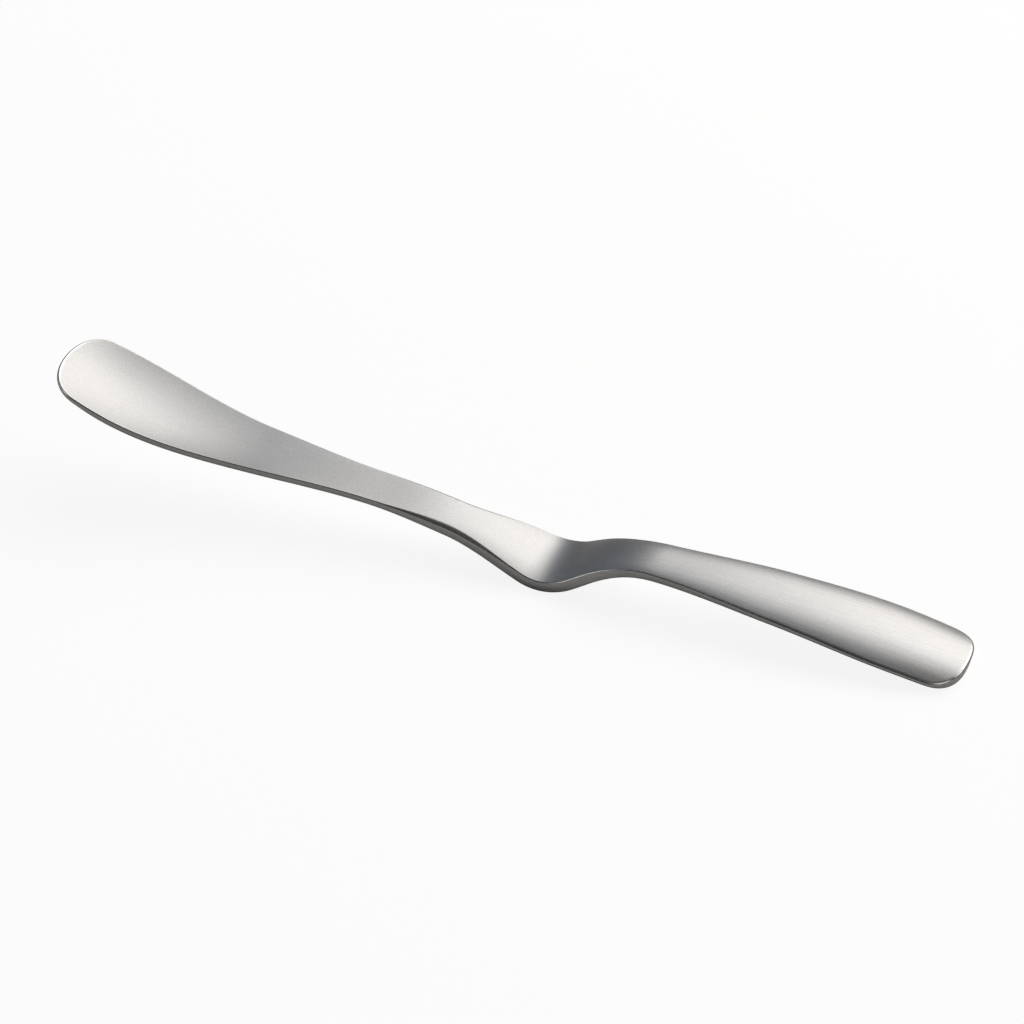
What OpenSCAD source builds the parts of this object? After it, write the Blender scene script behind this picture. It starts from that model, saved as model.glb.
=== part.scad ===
// Butter knife made of one blank of stainless strip: a dished blade, a cranked neck and a crowned grip.
// X runs from the tip of the blade to the end of the grip, Y across the strip, Z up, in millimetres.
// The knife lies on the table at Z = 0, on the underside of its crank and on the end of its grip.

/* [Side view] */
// Slope of the blade at its tip, falling towards the grip, in degrees
tip_slope = 26.5; // [14:0.1:34]
// Length along the strip in which the sweep of the tip runs out
tip_length = 41.2; // [34:0.1:50]
// Slope of the straight part of the blade, in degrees
blade_slope = 5.7; // [0:0.1:10]
// Length of the straight part of the blade
blade_length = 22.7; // [14:0.1:34]
// Length along the strip in which the neck turns down
neck_length = 31.4; // [28:0.1:42]
// Slope of the neck where it meets the crank, in degrees
neck_slope = 20.5; // [12:0.1:26]
// Radius of the crank at the middle of the strip
crank_radius = 11.2; // [7:0.1:16]
// Slope of the riser between the crank and the shoulder, in degrees
riser_slope = 30.1; // [22:0.1:38]
// Length of the straight riser
riser_length = 3.3; // [1:0.1:8]
// Radius of the shoulder at the middle of the strip
shoulder_radius = 23.8; // [16:0.1:34]
// Slope of the grip behind the shoulder, in degrees
grip_slope = 1.6; // [0:0.1:5]
// Length along the arched grip
grip_length = 58.1; // [50:0.1:70]
// Slope of the grip at its end, in degrees
end_slope = 12.2; // [8:0.1:16]

/* [Plan view] */
// Width to which the sides of the blade run at the tip, before the tip is rounded
tip_width = 18; // [12:0.1:24]
// Width of the blade at its widest
blade_width = 19.6; // [15:0.1:25]
// Distance of the widest place of the blade from the tip
blade_widest = 12.7; // [8:0.1:20]
// Width of the blade where its straight part begins
taper_width = 12.9; // [10:0.1:17]
// Width where the neck begins
neck_start_width = 8.8; // [7:0.1:12]
// Width of the neck at its narrowest
neck_width = 8.7; // [6:0.1:12]
// Distance of the narrowest place of the neck from the crank
neck_narrowest = 16.3; // [10:0.1:24]
// Width of the crank at its widest
crank_width = 13.8; // [10:0.1:18]
// Distance of the widest place of the crank from where the crank begins
crank_widest = 3.2; // [0:0.1:5]
// Width of the waist between the shoulder and the grip
waist_width = 9.5; // [7:0.1:13]
// Distance of the waist from the grip
waist_narrowest = 3.7; // [0:0.1:7]
// Width halfway along the swell of the grip
swell_width = 14.6; // [11:0.1:18]
// Distance of that place from the shoulder
swell_middle = 23.1; // [16:0.1:28]
// Width of the grip at its widest
grip_width = 17.4; // [14:0.1:22]
// Distance of the widest place of the grip from its end
grip_widest = 14.7; // [8:0.1:20]
// Width to which the sides of the grip run at its end, before its corners are rounded
end_width = 16.4; // [12:0.1:20]
// Length of the rounded tip
tip_round = 6.2; // [3:0.1:9]
// Fullness of the rounded tip: 2 is an ellipse, more is squarer
tip_form = 2.2; // [1.8:0.1:4]
// Length of the rounded end of the grip
end_round = 6.1; // [3:0.1:8]
// Fullness of the rounded end: 2 is an ellipse, more is squarer
end_form = 2.5; // [1.8:0.1:4]

/* [Thickness] */
// Thickness of the edge at the tip
tip_thickness = 0.65; // [0.5:0.05:1.2]
// Thickness of the blade
blade_thickness = 1.3; // [0.8:0.05:2]
// Thickness of the neck and the crank
crank_thickness = 2.15; // [1.4:0.05:3]
// Thickness of the edge where the grip begins
waist_thickness = 1.5; // [1:0.05:2.4]
// Thickness of the edge where the grip is widest
grip_thickness = 0.95; // [0.6:0.05:1.6]
// Thickness of the edge at the end of the grip
end_thickness = 0.95; // [0.6:0.05:1.6]

/* [Pressed forms] */
// Depth of the dish at the tip
tip_dish = 0.5; // [0:0.05:1]
// Depth of the dish where the blade is widest
dish_depth = 0.95; // [0:0.05:2]
// Rise of the crown where the crank begins
neck_crown = 0.4; // [0:0.05:0.8]
// Rise of the crown where the grip begins
waist_crown = 0.65; // [0.2:0.05:1.2]
// Rise of the crown where the grip is widest
grip_crown = 1.45; // [0.8:0.05:2.6]
// Rise of the crown at the end of the grip
end_crown = 1.55; // [0.4:0.05:2.4]
// Depth of the belly under the widest place of the grip
grip_belly = 0.4; // [0:0.05:0.6]
// Fullness of the crown: 2 is a parabola, more is flatter on top
crown_form = 2.7; // [2:0.1:4]
// Radius of the upper edges of the blade and the crank
edge_round = 0.2; // [0.05:0.05:0.3]
// Radius of the soft upper edges where the neck is narrowest
neck_round = 0.85; // [0.2:0.05:1]
// Radius of the upper edges where the grip is widest and round its end
grip_round = 0.4; // [0.1:0.05:0.5]
// Radius of the lower edges
under_round = 0.25; // [0.05:0.05:0.4]

/* [Hidden] */

// Places along the middle of the strip, measured from the tip
neck_start = tip_length + blade_length;
crank_start = neck_start + neck_length;
riser_start = crank_start + arc_length(crank_radius, neck_slope + riser_slope);
shoulder_start = riser_start + riser_length;
grip_start = shoulder_start + arc_length(shoulder_radius, riser_slope + grip_slope);
strip_length = grip_start + grip_length;
neck_place = crank_start - neck_narrowest;
grip_place = strip_length - grip_widest;

// Slope of the strip, which changes evenly between these places: [place, degrees]
slopes = [
    [0, -tip_slope],
    [tip_length, -blade_slope],
    [neck_start, -blade_slope],
    [crank_start, -neck_slope],
    [riser_start, riser_slope],
    [shoulder_start, riser_slope],
    [grip_start, -grip_slope],
    [strip_length, -end_slope]
];

// Width of the strip at places along it: [place, width]
widths = [
    [0, tip_width],
    [blade_widest, blade_width],
    [tip_length, taper_width],
    [neck_start, neck_start_width],
    [neck_place, neck_width],
    [crank_start + crank_widest, crank_width],
    [grip_start - waist_narrowest, waist_width],
    [grip_start + swell_middle, swell_width],
    [grip_place, grip_width],
    [strip_length, end_width]
];

// Thickness of the strip at its edges: [place, thickness]
thicknesses = [
    [0, tip_thickness],
    [blade_widest, blade_thickness],
    [neck_start, blade_thickness],
    [neck_place, crank_thickness],
    [riser_start, crank_thickness],
    [grip_start, waist_thickness],
    [grip_place, grip_thickness],
    [strip_length, end_thickness]
];

// Depth of the dish that is pressed into the blade: [place, depth]
dishes = [[0, tip_dish], [blade_widest, dish_depth], [neck_start, 0], [strip_length, 0]];

// Rise of the crown on the upper side: [place, rise]
crowns = [
    [0, 0],
    [neck_start, 0],
    [crank_start, neck_crown],
    [grip_start, waist_crown],
    [grip_place, grip_crown],
    [strip_length, end_crown]
];

// Depth of the belly on the lower side: [place, depth]
bellies = [[0, 0], [shoulder_start, 0], [grip_place, grip_belly], [strip_length, 0]];

// Radius of the upper edges: [place, radius]
rounds = [
    [0, edge_round],
    [neck_start, edge_round],
    [neck_place, neck_round],
    [crank_start, edge_round],
    [grip_start, edge_round],
    [grip_place, grip_round],
    [strip_length, grip_round]
];

// Largest share of half the thickness that a rounded edge takes
round_share = 0.9;

// Rows of points: their spacing on gentle stretches and in the bends, and the rows of a rounded end
row_gap = 2.2;
bend_gap = 0.9;
end_rows = 12;

// Points of half a section: those of its flat or crowned face, and those of its rounded edge
face_steps = 6;
edge_steps = 4;
half_steps = face_steps + edge_steps;
ring = 4 * half_steps + 2;

places = concat(
    [for (i = [1:end_rows]) tip_round * (1 - cos(90 * i / end_rows))],
    rows(tip_round, tip_length, row_gap),
    rows(tip_length, neck_start, row_gap),
    rows(neck_start, crank_start, row_gap),
    rows(crank_start, riser_start, bend_gap),
    rows(riser_start, shoulder_start, row_gap),
    rows(shoulder_start, grip_start, bend_gap),
    rows(grip_start, strip_length - end_round, row_gap),
    [for (i = [1:end_rows - 1]) strip_length - end_round * (1 - sin(90 * i / end_rows))]
);
last = len(places) - 1;

// Even rows from one place to the next, without the first
function rows(from, to, gap) =
    let (count = max(1, ceil((to - from) / gap)))
    [for (i = [1:count]) from + (to - from) * i / count];

function arc_length(radius, angle) = radius * angle * PI / 180;

// Average change between two neighbouring stations
function secant(stations, i) =
    (stations[i + 1][1] - stations[i][1]) / (stations[i + 1][0] - stations[i][0]);

// Change at an inner station: a weighted harmonic mean of both sides, and none at a peak
function inner_rate(stations, i) =
    let (before = secant(stations, i - 1))
    let (after = secant(stations, i))
    let (run_before = stations[i][0] - stations[i - 1][0])
    let (run_after = stations[i + 1][0] - stations[i][0])
    let (weight_before = 2 * run_after + run_before)
    let (weight_after = run_after + 2 * run_before)
    before * after <= 0 ? 0
        : (weight_before + weight_after) / (weight_before / before + weight_after / after);

function rate(stations, i) =
    i == 0 ? secant(stations, 0)
        : i == len(stations) - 1 ? secant(stations, i - 1)
        : inner_rate(stations, i);

// Value at a place on the smooth curve through stations of [place, value]
function smooth(stations, place) =
    let (i = max([0, for (k = [1:len(stations) - 2]) if (stations[k][0] <= place) k]))
    let (run = stations[i + 1][0] - stations[i][0])
    let (t = (place - stations[i][0]) / run)
    stations[i][1] * (1 + 2 * t) * (1 - t)^2
        + stations[i + 1][1] * t^2 * (3 - 2 * t)
        + run * (rate(stations, i) * t * (1 - t)^2 - rate(stations, i + 1) * t^2 * (1 - t));

// Share of the width that is left at a distance from a rounded end
function end_share(distance, length, form) = (1 - max(0, 1 - distance / length)^form)^(1 / form);

// Slope of the strip at a place, with the whole knife turned by tilt
function slope(place, tilt) = lookup(place, slopes) + tilt;

// Step from one row to the next along the middle of the strip: the chord of a short arc, shorter than
// the arc by a sixth of the square of its half turn in radians
function chord(i, tilt) =
    let (run = places[i + 1] - places[i])
    let (half_turn = (slope(places[i + 1], tilt) - slope(places[i], tilt)) / 2)
    let (heading = slope(places[i], tilt) + half_turn)
    let (shortening = (half_turn * PI / 180)^2 / 6)
    run * (1 - shortening) * [cos(heading), sin(heading)];

// Middle line of the strip in side view
function middle_line(tilt) =
    [for (i = 0, p = [0, 0]; i <= last; p = i < last ? p + chord(i, tilt) : p, i = i + 1) p];

// Distance y from the middle as a share of half the width that the strip has before its ends are rounded
function reach(place, y) = 2 * y / smooth(widths, place);

// Height of the upper and the lower face over the middle line, at y across the strip
function upper(place, y) =
    smooth(thicknesses, place) / 2
        + smooth(crowns, place) * (1 - reach(place, y)^crown_form)
        - smooth(dishes, place) * (1 - reach(place, y)^2);

function lower(place, y) =
    -smooth(thicknesses, place) / 2
        - smooth(bellies, place) * (1 - reach(place, y)^crown_form)
        - smooth(dishes, place) * (1 - reach(place, y)^2);

// Distance from the middle and drop below the face of point k in half a section, from the middle to the edge
function across(k, half, radius) =
    k <= face_steps ? (half - radius) * sin(90 * k / face_steps)
        : half - radius + radius * sin(90 * (k - face_steps) / edge_steps);

function drop(k, radius) =
    k <= face_steps ? 0 : radius * (1 - cos(90 * (k - face_steps) / edge_steps));

// One half of a section as [y, height], from the middle of the upper face round to that of the lower
function half_section(place) =
    let (plan = smooth(widths, place) / 2 * end_share(place, tip_round, tip_form))
    let (half = plan * end_share(strip_length - place, end_round, end_form))
    let (limit = round_share * smooth(thicknesses, place) / 2)
    let (top_round = min(smooth(rounds, place), limit))
    let (low_round = min(under_round, limit))
    concat(
        [for (k = [0:half_steps])
            let (y = across(k, half, top_round))
            [y, upper(place, y) - drop(k, top_round)]],
        [for (k = [half_steps:-1:0])
            let (y = across(k, half, low_round))
            [y, lower(place, y) + drop(k, low_round)]]
    );

// Whole section as [y, height]: the near half, then the far half backwards
function section(place) =
    let (half = half_section(place))
    concat(
        [for (p = half) [-p[0], p[1]]],
        [for (k = [len(half) - 2:-1:half_steps + 1]) half[k]],
        [for (k = [half_steps:-1:1]) half[k]]
    );

// Points in space of the section in row i
function placed(i, line, tilt) =
    let (a = slope(places[i], tilt))
    [for (p = section(places[i])) [line[i][0] - sin(a) * p[1], p[0], line[i][1] + cos(a) * p[1]]];

// Lowest points of the underside in side view
function underside(tilt) =
    let (line = middle_line(tilt))
    [for (i = [0:last])
        let (a = slope(places[i], tilt))
        let (depth = lower(places[i], 0))
        [line[i][0] - sin(a) * depth, line[i][1] + cos(a) * depth]];

function lowest(points) = points[search(min([for (p = points) p[1]]), points, 1, 1)[0]];

// Turn of the whole knife that brings the crank and the end of the grip to one level
function level_tilt(tilt, tries) =
    let (under = underside(tilt))
    let (crank = lowest([for (i = [0:last]) if (places[i] > neck_start && places[i] < grip_start) under[i]]))
    let (end = lowest([for (i = [0:last]) if (places[i] > grip_place) under[i]]))
    tries == 0 ? tilt : level_tilt(tilt - atan2(end[1] - crank[1], end[0] - crank[0]), tries - 1);

tilt = level_tilt(0, 4);
line = middle_line(tilt);
skin = [for (i = [0:last]) each placed(i, line, tilt)];

// The middle of the knife's length lies at X = 0, and its lowest points at Z = 0
ends = [min([for (p = skin) p[0]]), max([for (p = skin) p[0]])];
floor_height = min([for (p = skin) p[2]]);
origin = [(ends[0] + ends[1]) / 2, 0, floor_height];

// Index of point k of the upper or the lower face, on the near or the far side of a row
function upper_index(k, far) = far ? (ring - k) % ring : k;
function lower_index(k, far) = far ? 2 * half_steps + 1 + k : 2 * half_steps + 1 - k;

// Two triangles of a quadrilateral
function quad(a, b, c, d) = [[a, b, c], [a, c, d]];

sides = [
    for (i = [0:last - 1], k = [0:ring - 1])
        let (next = (k + 1) % ring)
        each quad(i * ring + k, (i + 1) * ring + k, (i + 1) * ring + next, i * ring + next)
];

// Flat end of the first or the last row, in strips from the upper to the lower face
function cap(row, turned) = [
    for (far = [false, true], k = [0:half_steps - 1])
        let (a = row * ring + upper_index(k, far))
        let (b = row * ring + upper_index(k + 1, far))
        let (c = row * ring + lower_index(k + 1, far))
        let (d = row * ring + lower_index(k, far))
        each (far != turned ? quad(d, c, b, a) : quad(a, b, c, d))
];

module knife() {
    color([0.78, 0.78, 0.77])
        translate(-origin)
        polyhedron(points = skin, faces = concat(sides, cap(0, false), cap(last, true)));
}

knife();
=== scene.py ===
from math import cos, pi, radians, sin
from types import SimpleNamespace

import bpy
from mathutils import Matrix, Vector


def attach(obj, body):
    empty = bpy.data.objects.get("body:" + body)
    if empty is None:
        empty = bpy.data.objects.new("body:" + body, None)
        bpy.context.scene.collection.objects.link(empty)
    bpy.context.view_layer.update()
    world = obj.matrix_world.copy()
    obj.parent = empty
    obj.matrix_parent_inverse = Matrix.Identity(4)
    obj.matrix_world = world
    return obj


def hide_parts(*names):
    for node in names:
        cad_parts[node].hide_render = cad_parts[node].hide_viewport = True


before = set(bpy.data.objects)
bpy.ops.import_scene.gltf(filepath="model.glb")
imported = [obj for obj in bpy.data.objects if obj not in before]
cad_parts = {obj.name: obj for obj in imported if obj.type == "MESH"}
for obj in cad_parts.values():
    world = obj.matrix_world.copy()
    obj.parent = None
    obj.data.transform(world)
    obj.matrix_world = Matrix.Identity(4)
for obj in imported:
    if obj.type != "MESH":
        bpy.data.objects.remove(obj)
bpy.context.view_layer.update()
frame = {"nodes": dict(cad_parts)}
mm = 0.001
print("frame loaded:", ", ".join(frame["nodes"]))


class Wire:
    # the output of a node, which takes part in sums like a number
    def __init__(self, tree, socket=None):
        self.tree = tree
        self.socket = socket

    def node(self, kind, inputs=(), out=0, stops=(), **settings):
        made = self.tree.nodes.new(kind)
        for name, value in settings.items():
            setattr(made, name, value)
        for spot, (place, colour) in enumerate(stops):
            ramp = made.color_ramp.elements
            stop = ramp[spot] if spot < len(ramp) else ramp.new(place)
            stop.position = place
            stop.color = colour
        pairs = inputs.items() if isinstance(inputs, dict) else enumerate(inputs)
        for key, value in pairs:
            if isinstance(value, Wire):
                self.tree.links.new(value.socket, made.inputs[key])
            else:
                made.inputs[key].default_value = value
        return Wire(self.tree, made.outputs[out] if made.outputs else None)

    def maths(self, operation, *values, **settings):
        return self.node("ShaderNodeMath", values, operation=operation, **settings)

    def __add__(self, other):
        return self.maths("ADD", self, other)

    def __sub__(self, other):
        return self.maths("SUBTRACT", self, other)

    def __rsub__(self, other):
        return self.maths("SUBTRACT", other, self)

    def __mul__(self, other):
        return self.maths("MULTIPLY", self, other)

    def __truediv__(self, other):
        return self.maths("DIVIDE", self, other)

    def __rtruediv__(self, other):
        return self.maths("DIVIDE", other, self)

    def __pow__(self, other):
        return self.maths("POWER", self, other)

    def __gt__(self, other):
        return self.maths("GREATER_THAN", self, other)

    def __neg__(self):
        return self * -1

    __radd__ = __add__
    __rmul__ = __mul__

    def clamped(self):
        return self.maths("ADD", self, 0, use_clamp=True)

    def size(self):
        return self.maths("ABSOLUTE", self)

    def least(self, other):
        return self.maths("MINIMUM", self, other)

    def floor(self):
        return self.maths("FLOOR", self)

    def sine(self):
        return self.maths("SINE", self)

    def cosine(self):
        return self.maths("COSINE", self)

    def mixed(self, start, end):
        # from one colour to another as this goes from 0 to 1; 6, 7 and 2 are the colour sockets
        return self.node("ShaderNodeMix", {0: self, 6: start, 7: end}, 2, data_type="RGBA")


# the strip, from the tip of the blade to the end of the grip, in millimetres and degrees;
# a form is an exponent, and roundShare the most of half the thickness that an edge rounds off
knifeSizes = dict(
    tipSlope=26.5, tipLength=41.2, bladeSlope=5.7, bladeLength=22.7,
    neckLength=31.4, neckSlope=20.5, crankRadius=11.2,
    riserSlope=30.1, riserLength=3.3, shoulderRadius=23.8,
    gripSlope=1.6, gripLength=58.1, endSlope=12.2, restTilt=-0.0054,
    tipWidth=18, bladeWidth=19.6, bladeWidest=12.7, taperWidth=12.9, neckStartWidth=8.8,
    neckWidth=8.7, neckNarrowest=16.3, crankWidth=13.8, crankWidest=3.2,
    waistWidth=9.5, waistNarrowest=3.7, swellWidth=14.6, swellMiddle=23.1,
    gripWidth=17.4, gripWidest=14.7, endWidth=16.4,
    tipRound=6.2, tipForm=2.2, endRound=6.1, endForm=2.5,
    tipThickness=0.65, bladeThickness=1.3, crankThickness=2.15,
    waistThickness=1.5, gripThickness=0.95, endThickness=0.95,
    tipDish=0.5, dishDepth=0.95, neckCrown=0.4, waistCrown=0.65, gripCrown=1.45, endCrown=1.55,
    gripBelly=0.4, crownForm=2.7, roundShare=0.9, wearWidth=0.5,
    bladeRound=0.28, edgeRound=0.2, neckRound=0.85, gripRound=0.4, underRound=0.25,
)

# rows along the strip, and steps of a quarter of a section
knifeCounts = dict(tipRows=24, bodyRows=330, endRows=24, faceSteps=20, edgeSteps=7)


def straight(stations, place):
    # straight lines through stations of (place, value)
    value = stations[0][1]
    for (start, low), (end, high) in zip(stations, stations[1:]):
        value = value + ((place - start) / (end - start)).clamped() * (high - low)
    return value


def ruleTree(name, words, rule):
    # small tree that works out one number from others
    tree = bpy.data.node_groups.new(name, "GeometryNodeTree")
    for word in words:
        tree.interface.new_socket(word, in_out="INPUT", socket_type="NodeSocketFloat")
    tree.interface.new_socket(name, in_out="OUTPUT", socket_type="NodeSocketFloat")
    given = tree.nodes.new("NodeGroupInput")
    result = tree.nodes.new("NodeGroupOutput")
    answer = rule(*[Wire(tree, given.outputs[word]) for word in words])
    tree.links.new(answer.socket, result.inputs[0])
    return tree


def rateRule(start, low, middle, value, end, high):
    # how fast a curve changes at its middle station: not at all where it turns back
    runBefore, runAfter = middle - start, end - middle
    before, after = (value - low) / runBefore, (high - value) / runAfter
    weightBefore, weightAfter = 2 * runAfter + runBefore, runAfter + 2 * runBefore
    mean = (weightBefore + weightAfter) / (weightBefore / before + weightAfter / after)
    return mean * (before * after > 0)


def stretchRule(place, start, low, end, high, rateLow, rateHigh):
    # what a curve gains between two stations
    run = end - start
    t = ((place - start) / run).clamped()
    return (t * t * (3 - 2 * t) * (high - low)
            + run * t * (1 - t) * (rateLow * (1 - t) - rateHigh * t))


rateTree = ruleTree("rate", ["start", "low", "middle", "value", "end", "high"], rateRule)
stretchTree = ruleTree(
    "stretch", ["place", "start", "low", "end", "high", "rateLow", "rateHigh"], stretchRule)


def smooth(stations, place):
    # curve through stations of (place, value) that never swings past them
    def slant(a, b):
        return (b[1] - a[1]) / (b[0] - a[0])

    rates = [slant(stations[0], stations[1])]
    for three in zip(stations, stations[1:], stations[2:]):
        values = [number for station in three for number in station]
        rates.append(place.node("GeometryNodeGroup", values, node_tree=rateTree))
    rates.append(slant(stations[-2], stations[-1]))
    value = stations[0][1]
    for i, (a, b) in enumerate(zip(stations, stations[1:])):
        values = (place, *a, *b, rates[i], rates[i + 1])
        value = value + place.node("GeometryNodeGroup", values, node_tree=stretchTree)
    return value


def stripTree():
    tree = bpy.data.node_groups.new("knifeStrip", "GeometryNodeTree")
    tree.interface.new_socket("knife", in_out="OUTPUT", socket_type="NodeSocketGeometry")
    for name in knifeSizes:
        tree.interface.new_socket(name, in_out="INPUT", socket_type="NodeSocketFloat")
    for name in knifeCounts:
        tree.interface.new_socket(name, in_out="INPUT", socket_type="NodeSocketInt")
    tree.interface.new_socket("finish", in_out="INPUT", socket_type="NodeSocketMaterial")
    given = tree.nodes.new("NodeGroupInput")
    result = tree.nodes.new("NodeGroupOutput")
    pen = Wire(tree)
    s = SimpleNamespace(**{o.name: Wire(tree, o) for o in given.outputs if o.name})
    degree = pi / 180
    quarter = pi / 2
    weldGap = 0.002  # closes the seam along the top and the points at both ends

    # places along the strip
    neckStart = s.tipLength + s.bladeLength
    crankStart = neckStart + s.neckLength
    riserStart = crankStart + s.crankRadius * (s.neckSlope + s.riserSlope) * degree
    shoulderStart = riserStart + s.riserLength
    gripStart = shoulderStart + s.shoulderRadius * (s.riserSlope + s.gripSlope) * degree
    stripLength = gripStart + s.gripLength
    neckPlace = crankStart - s.neckNarrowest
    gripPlace = stripLength - s.gripWidest

    # one point for each row, closer together round the tip and the end
    rowCount = s.tipRows + s.bodyRows + s.endRows + 1
    rows = pen.node("GeometryNodeMeshLine", {"Count": rowCount})
    index = pen.node("GeometryNodeInputIndex")
    tipPart = (index / s.tipRows).clamped() * quarter
    bodyPart = ((index - s.tipRows) / s.bodyRows).clamped()
    endPart = ((index - s.tipRows - s.bodyRows) / s.endRows).clamped() * quarter
    bodyLength = stripLength - s.tipRound - s.endRound
    place = (s.tipRound * (1 - tipPart.cosine()) + bodyLength * bodyPart
             + s.endRound * endPart.sine())
    toEnd = s.endRound * (1 - endPart.sine()) + bodyLength * (1 - bodyPart)

    def at(value, row):
        return pen.node("GeometryNodeFieldAtIndex", (value, row), data_type="FLOAT", domain="POINT")

    # middle line of the strip, row by row
    slope = degree * (s.restTilt + straight([
        (0, -s.tipSlope), (s.tipLength, -s.bladeSlope), (neckStart, -s.bladeSlope),
        (crankStart, -s.neckSlope), (riserStart, s.riserSlope), (shoulderStart, s.riserSlope),
        (gripStart, -s.gripSlope), (stripLength, -s.endSlope)], place))
    run = at(place, index + 1) - place
    halfTurn = (at(slope, index + 1) - slope) / 2
    heading = slope + halfTurn
    chord = run * (1 - halfTurn * halfTurn / 6)  # a little shorter than the arc
    step = pen.node("ShaderNodeCombineXYZ", (chord * heading.cosine(), 0, chord * heading.sine()))
    middle = pen.node("GeometryNodeAccumulateField", (step,), "Trailing", data_type="FLOAT_VECTOR")

    # outline of the strip, and the direction that it faces
    width = smooth([
        (0, s.tipWidth), (s.bladeWidest, s.bladeWidth), (s.tipLength, s.taperWidth),
        (neckStart, s.neckStartWidth), (neckPlace, s.neckWidth),
        (crankStart + s.crankWidest, s.crankWidth), (gripStart - s.waistNarrowest, s.waistWidth),
        (gripStart + s.swellMiddle, s.swellWidth), (gripPlace, s.gripWidth),
        (stripLength, s.endWidth)], place)
    tipShare = (1 - (1 - place / s.tipRound).clamped() ** s.tipForm) ** (1 / s.tipForm)
    endShare = (1 - (1 - toEnd / s.endRound).clamped() ** s.endForm) ** (1 / s.endForm)
    half = width / 2 * tipShare * endShare
    lastRow = rowCount - 1
    rowBefore = (index - 1).size()
    rowAfter = lastRow - (lastRow - index - 1).size()
    signBefore = 2 * (index > 0.5) - 1
    signAfter = 2 * (lastRow - index > 0.5) - 1
    along = at(place, rowAfter) - at(place, rowBefore)
    aside = at(half, rowAfter) * signAfter - at(half, rowBefore) * signBefore
    length = (along * along + aside * aside) ** 0.5
    faceAlong = -aside / length
    faceAside = along / length

    # thickness and pressed forms
    thickness = smooth([
        (0, s.tipThickness), (s.bladeWidest, s.bladeThickness), (neckStart, s.bladeThickness),
        (neckPlace, s.crankThickness), (riserStart, s.crankThickness),
        (gripStart, s.waistThickness), (gripPlace, s.gripThickness),
        (stripLength, s.endThickness)], place)
    dish = smooth([
        (0, s.tipDish), (s.bladeWidest, s.dishDepth), (neckStart, 0), (stripLength, 0)], place)
    crown = smooth([
        (0, 0), (neckStart, 0), (crankStart, s.neckCrown), (gripStart, s.waistCrown),
        (gripPlace, s.gripCrown), (stripLength, s.endCrown)], place)
    belly = smooth([(0, 0), (shoulderStart, 0), (gripPlace, s.gripBelly), (stripLength, 0)], place)
    limit = s.roundShare * thickness / 2
    topRound = limit.least(smooth([
        (0, s.bladeRound), (s.bladeWidest, s.bladeRound), (neckStart, s.edgeRound),
        (neckPlace, s.neckRound), (crankStart, s.edgeRound), (gripStart, s.edgeRound),
        (gripPlace, s.gripRound), (stripLength, s.gripRound)], place))
    lowRound = limit.least(smooth([
        (0, s.bladeRound), (s.bladeWidest, s.bladeRound), (neckStart, s.underRound),
        (gripStart, s.underRound), (gripPlace, s.gripRound), (stripLength, s.gripRound)], place))

    # skin: a sheet of rows, each bent round into a section
    quarterSteps = s.faceSteps + s.edgeSteps
    lowMiddle = 2 * quarterSteps + 1
    ringCount = 2 * lowMiddle + 1
    sheet = pen.node("GeometryNodeMeshGrid", (1, 1, rowCount, ringCount))
    row = ((index + 0.5) / ringCount).floor()
    spot = index - row * ringCount

    def onRow(value, kind="FLOAT"):
        return pen.node(
            "GeometryNodeSampleIndex", (rows, value, row), data_type=kind, domain="POINT")

    fromLow = (spot - lowMiddle).size()
    upper = fromLow > quarterSteps + 0.5
    stepOut = fromLow + upper * (lowMiddle - 2 * fromLow)
    side = 2 * (spot > lowMiddle + 0.5) - 1
    faceShare = ((stepOut / s.faceSteps).clamped() * quarter).sine()
    edgeTurn = ((stepOut - s.faceSteps) / s.edgeSteps).clamped() * quarter
    edge = onRow(lowRound) + upper * (onRow(topRound) - onRow(lowRound))
    inset = edge * (1 - edgeTurn.sine())
    drop = edge * (1 - edgeTurn.cosine())
    rowHalf = onRow(half)
    out = faceShare * (rowHalf - inset * onRow(faceAside))
    shift = -inset * onRow(faceAlong)
    reach = 2 * out / onRow(width)
    pressed = onRow(dish) * (1 - reach ** 2)
    swell = 1 - reach ** s.crownForm
    top = onRow(thickness) / 2 + onRow(crown) * swell - pressed - drop
    low = drop - onRow(thickness) / 2 - onRow(belly) * swell - pressed
    height = low + upper * (top - low)
    turn = onRow(slope)
    leaning = pen.node("ShaderNodeCombineXYZ", (
        shift * turn.cosine() - height * turn.sine(), out * side,
        shift * turn.sine() + height * turn.cosine()))
    rowMiddle = onRow(middle, "FLOAT_VECTOR")
    point = pen.node("ShaderNodeVectorMath", (rowMiddle, leaning), operation="ADD")
    metres = pen.node("ShaderNodeVectorMath", {0: point, "Scale": mm}, operation="SCALE")
    skin = pen.node("GeometryNodeSetPosition", {"Geometry": sheet, "Position": metres})

    # place along, across and through the strip for the grain, and how near a point is to the rim
    grainPlace = pen.node("ShaderNodeCombineXYZ", (onRow(place) + shift, out * side, height))
    skin = pen.node("GeometryNodeStoreNamedAttribute", {
        "Geometry": skin, "Name": "grainPlace", "Value": grainPlace},
        data_type="FLOAT_VECTOR", domain="POINT")
    wornEdge = (1 - (rowHalf - out) * onRow(faceAside) / s.wearWidth).clamped()
    skin = pen.node("GeometryNodeStoreNamedAttribute", {
        "Geometry": skin, "Name": "wornEdge", "Value": wornEdge},
        data_type="FLOAT", domain="POINT")

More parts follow.
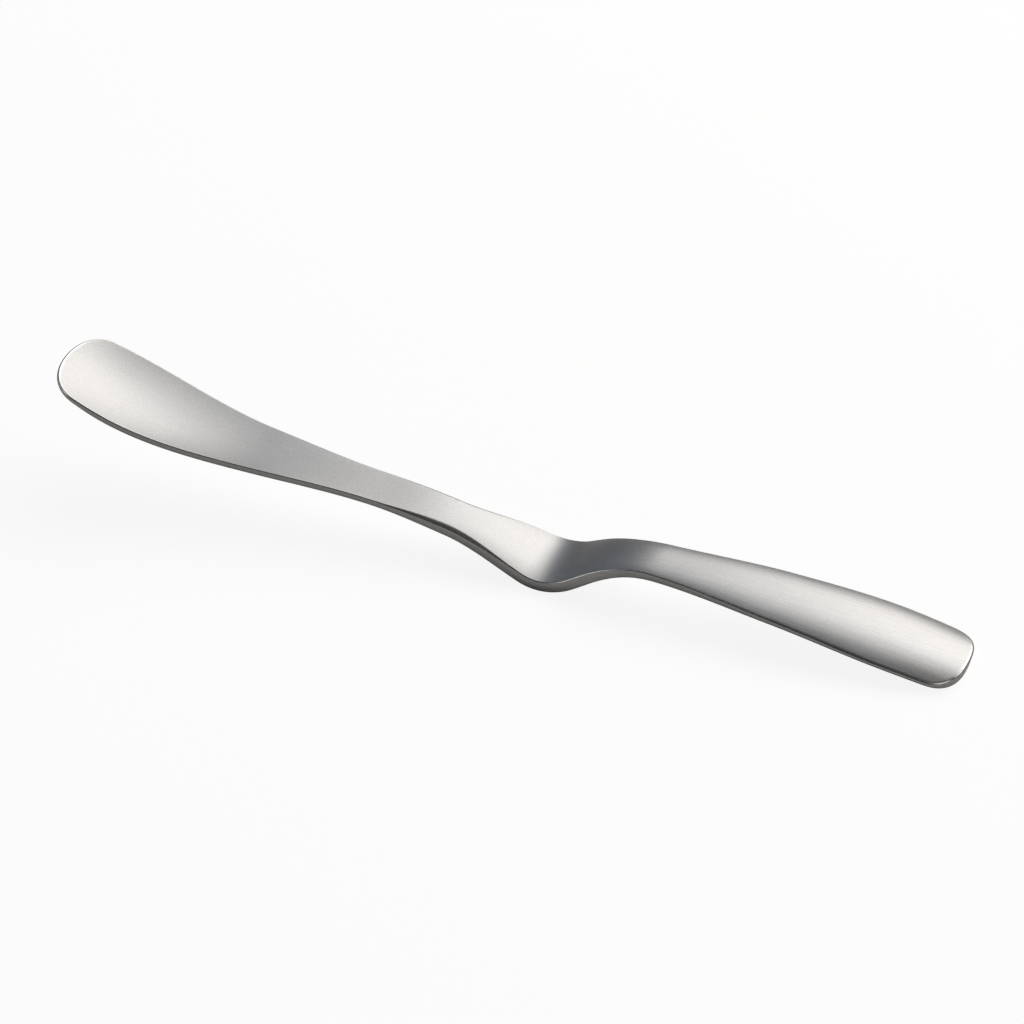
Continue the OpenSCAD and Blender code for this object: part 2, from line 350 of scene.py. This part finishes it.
    # middle of its length at zero, lowest point on the table
    lowCorner = pen.node("GeometryNodeBoundBox", (skin,), "Min")
    highCorner = pen.node("GeometryNodeBoundBox", (skin,), "Max")
    centre = pen.node("ShaderNodeVectorMath", (lowCorner, highCorner), operation="ADD")
    rest = pen.node("ShaderNodeVectorMath", (centre, (-0.5, 0, 0)), operation="MULTIPLY")
    floorLift = pen.node("ShaderNodeVectorMath", (lowCorner, (0, 0, -1)), operation="MULTIPLY")
    move = pen.node("ShaderNodeVectorMath", (rest, floorLift), operation="ADD")
    skin = pen.node("GeometryNodeSetPosition", {"Geometry": skin, "Offset": move})
    skin = pen.node("GeometryNodeMergeByDistance", {"Geometry": skin, "Distance": weldGap * mm})
    skin = pen.node("GeometryNodeFlipFaces", (skin,))
    skin = pen.node("GeometryNodeSetShadeSmooth", (skin,))
    skin = pen.node("GeometryNodeRealizeInstances", (skin,))
    skin = pen.node("GeometryNodeSetMaterial", {"Geometry": skin, "Material": s.finish})
    tree.links.new(skin.socket, result.inputs[0])
    return tree


def makeKnife(finish):
    tree = stripTree()
    draft = bpy.data.objects.new("knifeDraft", bpy.data.meshes.new("knifeDraft"))
    bpy.context.collection.objects.link(draft)
    modifier = draft.modifiers.new("strip", "NODES")
    modifier.node_group = tree
    values = {**knifeSizes, **knifeCounts, "finish": finish}
    for item in tree.interface.items_tree:
        if item.in_out == "INPUT":
            value = values[item.name]
            isSize = item.socket_type == "NodeSocketFloat"
            modifier[item.identifier] = float(value) if isSize else value
    evaluated = draft.evaluated_get(bpy.context.evaluated_depsgraph_get())
    mesh = bpy.data.meshes.new_from_object(evaluated)
    mesh.name = "butterKnife"
    bpy.data.objects.remove(draft)
    knife = bpy.data.objects.new("butterKnife", mesh)
    bpy.context.collection.objects.link(knife)
    print("knife:", len(mesh.vertices), "points,", len(mesh.polygons), "faces")
    return knife


# the satin finish: what streaks, speckle, clouds and wear do to colour, roughness and bump;
# each grain is in waves per millimetre along, across and through the strip
steelLook = dict(
    light=(0.72, 0.717, 0.712, 1), dark=(0.6, 0.598, 0.594, 1), tintMiddle=0.5,
    roughness=0.39, bumpHeight=0.006, grainDetail=2,
    brushStart=95, brushRun=30, bladeBrush=0.35,
    streakGrain=(0.12, 3.2, 3.2), streakTint=1.7, streakRough=0.06, streakBump=1.3,
    speckleGrain=(3, 4, 4), speckleTint=2.3, speckleRough=0.04,
    cloudGrain=(0.09, 0.11, 0.11), cloudTint=0.4, cloudRough=0.05,
    wornTint=0.1, wornPolish=0.17, wornBump=0.6,
)


def satinSteel():
    look = SimpleNamespace(**steelLook)
    finish = bpy.data.materials.new("satinSteel")
    finish.use_nodes = True
    tree = finish.node_tree
    tree.nodes.clear()
    pen = Wire(tree)
    place = pen.node("ShaderNodeAttribute", out="Vector", attribute_name="grainPlace")
    worn = pen.node("ShaderNodeAttribute", out="Fac", attribute_name="wornEdge")

    def grain(waves):
        # noise of about -0.5 to 0.5
        spot = pen.node("ShaderNodeVectorMath", (place, waves), operation="MULTIPLY")
        noise = pen.node("ShaderNodeTexNoise", {
            "Vector": spot, "Scale": 1, "Detail": look.grainDetail}, "Fac")
        return noise - 0.5

    # brushing runs along the strip and shows most on the grip; speckle and clouds are all over
    along = pen.node("ShaderNodeSeparateXYZ", (place,), "X")
    brushed = ((along - look.brushStart) / look.brushRun).clamped()
    brushed = look.bladeBrush + (1 - look.bladeBrush) * brushed
    streaks = grain(look.streakGrain) * brushed
    speckle = grain(look.speckleGrain)
    clouds = grain(look.cloudGrain)
    rough = (look.roughness + look.streakRough * streaks + look.speckleRough * speckle
             + look.cloudRough * clouds - look.wornPolish * worn)
    shade = (look.tintMiddle + look.streakTint * streaks + look.speckleTint * speckle
             + look.cloudTint * clouds + look.wornTint * worn)
    tint = shade.clamped().mixed(look.dark, look.light)
    height = (look.streakBump * streaks + speckle) * (1 - look.wornBump * worn)
    bump = pen.node("ShaderNodeBump", {
        "Strength": 1, "Distance": look.bumpHeight * mm, "Height": height})
    shader = pen.node("ShaderNodeBsdfPrincipled", {
        "Base Color": tint, "Metallic": 1, "Roughness": rough, "Normal": bump})
    pen.node("ShaderNodeOutputMaterial", {"Surface": shader})
    print("satin steel made")
    return finish


# a pale floor that glows a little, so that it stays even, and under it a greyer table
# with the knife's own shadow, which only the steel reflects; radius in metres, depth in millimetres
floorLook = dict(
    radius=3, corners=96, roughness=0.9, floorColour=(0.3, 0.3, 0.3, 1), floorGlow=0.88,
    tableColour=(0.84, 0.83, 0.81, 1), tableDepth=0.3,
)


def makeSheet(name, height, colour, glow):
    bpy.ops.mesh.primitive_circle_add(
        vertices=floorLook["corners"], radius=floorLook["radius"], fill_type="NGON",
        location=(0, 0, height * mm))
    sheet = bpy.context.object
    sheet.name = name
    paper = bpy.data.materials.new(name)
    paper.use_nodes = True
    tree = paper.node_tree
    tree.nodes.clear()
    pen = Wire(tree)
    shader = pen.node("ShaderNodeBsdfPrincipled", {
        "Base Color": colour, "Roughness": floorLook["roughness"], "Specular IOR Level": 0,
        "Emission Color": (1, 1, 1, 1), "Emission Strength": glow})
    pen.node("ShaderNodeOutputMaterial", {"Surface": shader})
    sheet.data.materials.append(paper)
    sheet.visible_shadow = False
    sheet.visible_diffuse = False
    return sheet


def makeFloor():
    floor = makeSheet("floor", 0, floorLook["floorColour"], floorLook["floorGlow"])
    floor.visible_glossy = False
    table = makeSheet("table", -floorLook["tableDepth"], floorLook["tableColour"], 0)
    table.visible_camera = False
    print("floor laid")


def aim(thing, target):
    gaze = Vector(target) - thing.location
    thing.rotation_euler = gaze.to_track_quat("-Z", "Y").to_euler()


# the camera: degrees round from the front and up from the table, and millimetres
cameraView = dict(
    azimuth=21.57, elevation=37.49, distance=900, target=(2.62, -4.48, 14.59),
    lens=176.32, sensor=36,
)


def makeCamera():
    azimuth, elevation = radians(cameraView["azimuth"]), radians(cameraView["elevation"])
    back = Vector((cos(elevation) * sin(azimuth), -cos(elevation) * cos(azimuth), sin(elevation)))
    target = Vector(cameraView["target"]) * mm
    data = bpy.data.cameras.new("camera")
    data.lens = cameraView["lens"]
    data.sensor_width = cameraView["sensor"]
    camera = bpy.data.objects.new("camera", data)
    bpy.context.collection.objects.link(camera)
    camera.location = target + back * cameraView["distance"] * mm
    aim(camera, target)
    bpy.context.scene.camera = camera
    print("camera set")


# softboxes: degrees down from overhead and round from the right, metres and watts
mainBoxes = dict(
    wideBox=dict(
        zenith=54, azimuth=55, distance=1.07, size=(1.8, 0.6),
        power=5.2, colour=(1, 0.965, 0.925)),
    highBox=dict(
        zenith=36, azimuth=90, distance=1.55, size=(0.95, 0.87),
        power=2.05, colour=(1, 0.994, 0.98)),
)

# weak ones at the left, for the edges of the crank, and in front at the right;
# they light the steel alone, so that the knife's shadow under it stays dark
weakBoxes = dict(
    leftBox=dict(
        zenith=57, azimuth=220, distance=1.2, size=(0.45, 0.5),
        power=1.3, colour=(1, 0.975, 0.945)),
    farLeftBox=dict(
        zenith=67, azimuth=192, distance=1.2, size=(0.7, 0.5),
        power=0.55, colour=(1, 0.98, 0.955)),
    rightBox=dict(
        zenith=57, azimuth=324, distance=1.3, size=(0.8, 0.65),
        power=1.9, colour=(1, 0.99, 0.975)),
)

# dim room, from straight down to straight up; cooler behind at the left
roomLight = dict(
    front=[
        (0, (0.06, 0.06, 0.06, 1)), (0.5, (0.05, 0.05, 0.05, 1)), (0.9, (0.03, 0.03, 0.03, 1))],
    backLeft=[
        (0, (0.05, 0.05, 0.05, 1)), (0.5, (0.045, 0.045, 0.045, 1)),
        (0.62, (0.12, 0.131, 0.15, 1))],
    backRight=[
        (0, (0.05, 0.05, 0.05, 1)), (0.5, (0.06, 0.065, 0.07, 1)),
        (0.62, (0.085, 0.08, 0.08, 1))],
    blend=0.8, backdrop=(0.95, 0.95, 0.95, 1),
)


def softbox(name, zenith, azimuth, distance, size, power, colour):
    data = bpy.data.lights.new(name, "AREA")
    data.shape = "RECTANGLE"
    data.size, data.size_y = size
    data.energy = power
    data.color = colour
    lamp = bpy.data.objects.new(name, data)
    bpy.context.collection.objects.link(lamp)
    tilt, turn = radians(zenith), radians(azimuth)
    lamp.location = distance * Vector((sin(tilt) * cos(turn), sin(tilt) * sin(turn), cos(tilt)))
    aim(lamp, (0, 0, 0))
    return lamp


def makeLights(knife):
    for name, box in mainBoxes.items():
        softbox(name, **box)
    steelAlone = bpy.data.collections.new("steelAlone")
    steelAlone.objects.link(knife)
    for name, box in weakBoxes.items():
        lamp = softbox(name, **box)
        lamp.light_linking.receiver_collection = steelAlone
    world = bpy.data.worlds.new("studio")
    bpy.context.scene.world = world
    world.use_nodes = True
    tree = world.node_tree
    tree.nodes.clear()
    pen = Wire(tree)
    direction = pen.node("ShaderNodeTexCoord", out="Generated")
    toRight, toBack, up = [pen.node("ShaderNodeSeparateXYZ", (direction,), axis) for axis in "XYZ"]
    right = (0.5 + toRight / roomLight["blend"]).clamped()
    behind = (0.5 + toBack / roomLight["blend"]).clamped()
    rise = 0.5 + 0.5 * up
    front, backLeft, backRight = [
        pen.node("ShaderNodeValToRGB", (rise,), stops=roomLight[part])
        for part in ("front", "backLeft", "backRight")]
    colour = behind.mixed(front, right.mixed(backLeft, backRight))
    seen = pen.node("ShaderNodeLightPath", out="Is Camera Ray")
    shader = pen.node("ShaderNodeBackground", {"Color": seen.mixed(colour, roomLight["backdrop"])})
    pen.node("ShaderNodeOutputWorld", {"Surface": shader})
    bpy.context.scene.view_settings.view_transform = "Standard"
    print("studio lit")


makeCamera()
makeFloor()
knife = makeKnife(satinSteel())
makeLights(knife)
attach(knife, "root")
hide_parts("knife")
